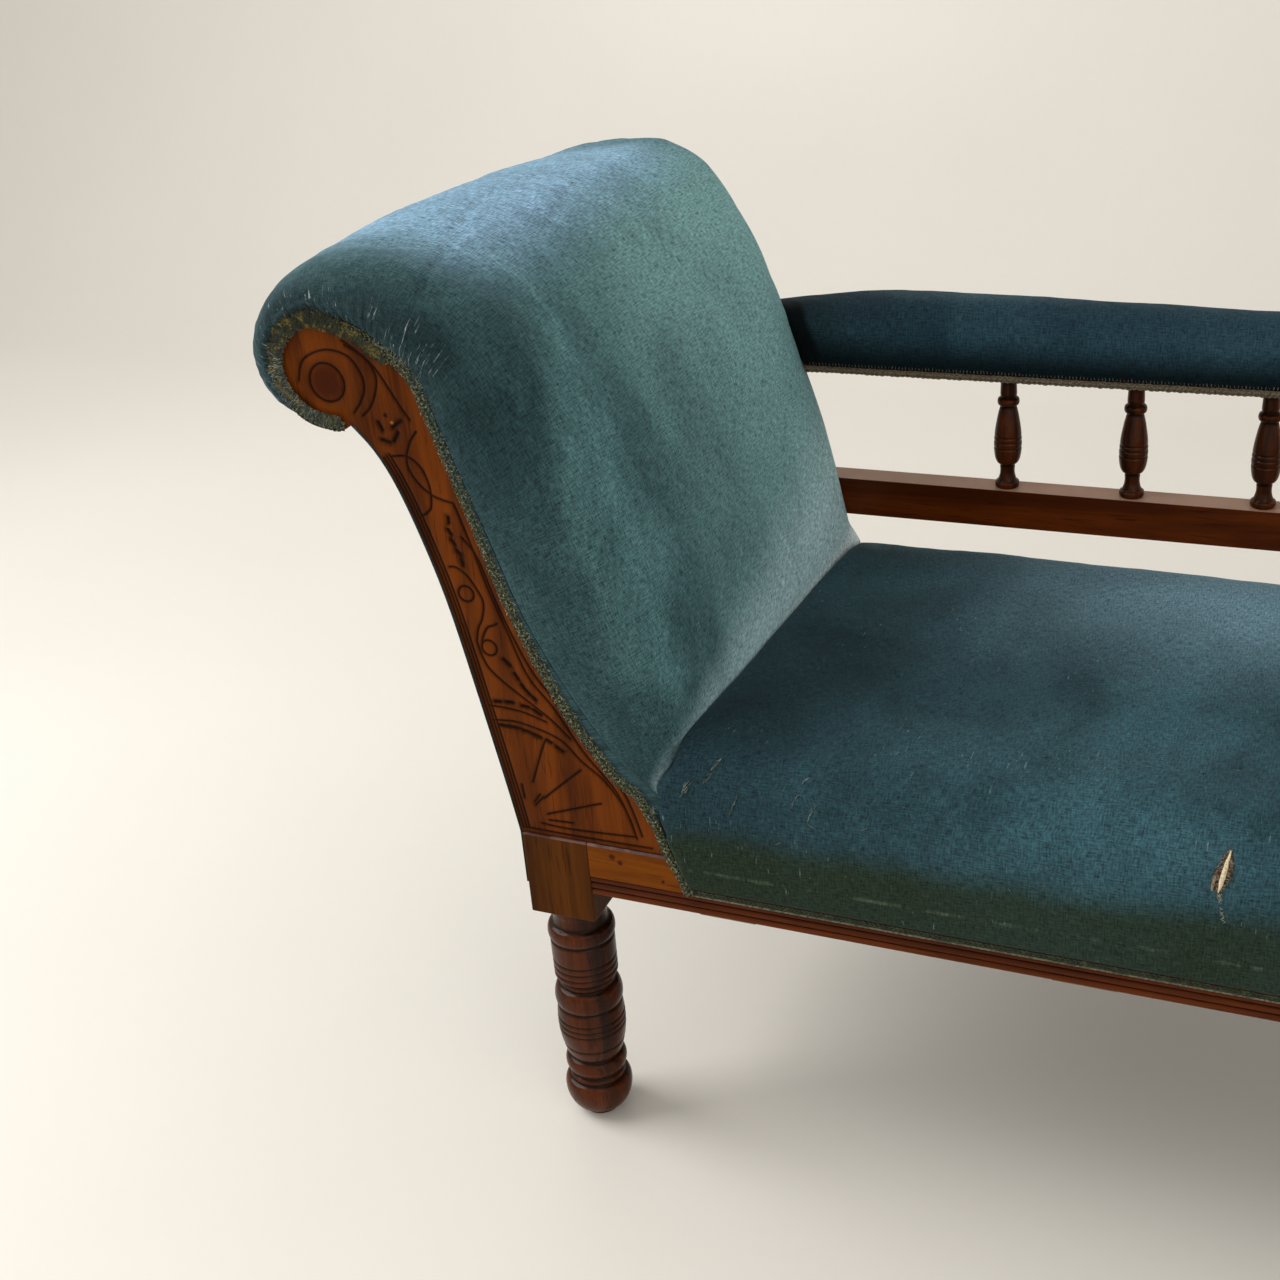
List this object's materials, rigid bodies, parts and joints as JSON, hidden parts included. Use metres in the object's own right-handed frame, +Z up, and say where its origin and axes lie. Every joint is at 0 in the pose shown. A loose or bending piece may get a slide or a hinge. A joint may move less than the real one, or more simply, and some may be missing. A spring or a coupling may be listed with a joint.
{
  "type": "fainting couch",
  "caption": "Upholstered fainting couch with a scrolled head end, turned legs, reeded seat rails and a padded spindle gallery along the back.",
  "frame": {"origin": "on the floor under the middle of the couch's overall box", "axes": "+X from the head end to the foot end, +Y from the open front to the gallery at the back, +Z up"},
  "size_m": [1.7796, 0.5814, 0.818],
  "materials": {
    "show_wood": "warm orange-brown polished hardwood with dark incised lines",
    "turned_wood": "dark red-brown polished turnings",
    "frame_wood": "raw sawn beech of the hidden frame",
    "velvet": "dark petrol teal cotton velvet, worn in places",
    "velvet_worn": "crushed, faded petrol teal cotton velvet",
    "gimp_braid": "faded green and gold woven gimp braid",
    "jute_webbing": "woven jute webbing",
    "black_cloth": "thin black bottoming cloth",
    "spring_steel": "dull coppered spring wire with jute twine"
  },
  "bodies": {
    "root": {"leg_front_head": "turned_wood", "leg_front_foot": "turned_wood", "leg_back_foot": "turned_wood", "leg_back_head": "turned_wood", "front_rail": "show_wood", "back_rail": "show_wood", "foot_rail": "show_wood", "side_panel_front": "show_wood", "side_panel_back": "show_wood", "gallery_lower_rail": "show_wood", "gallery_arm_rail": "show_wood", "gallery_end_bracket": "show_wood", "head_rail": "frame_wood", "cross_rail": "frame_wood", "head_seat_rail": "frame_wood", "head_mid_rail": "frame_wood", "scroll_rail": "frame_wood", "corner_block_front_head": "frame_wood", "corner_block_front_foot": "frame_wood", "corner_block_back_foot": "frame_wood", "corner_block_back_head": "frame_wood", "spindle_1": "turned_wood", "spindle_2": "turned_wood", "spindle_3": "turned_wood", "spindle_4": "turned_wood", "spindle_5": "turned_wood", "spindle_6": "turned_wood", "spindle_7": "turned_wood", "head_webbing": "jute_webbing", "seat_webbing": "jute_webbing", "spring_row_front": "spring_steel", "spring_row_middle": "spring_steel", "spring_row_back": "spring_steel", "dust_cover": "black_cloth", "head_pad": "velvet_worn", "seat_pad": "velvet", "gallery_pad": "velvet", "outside_back": "velvet", "head_gimp_front": "gimp_braid", "head_gimp_back": "gimp_braid", "seat_gimp": "gimp_braid", "gallery_gimp_front": "gimp_braid", "gallery_gimp_back": "gimp_braid"}
  },
  "joints": []
}
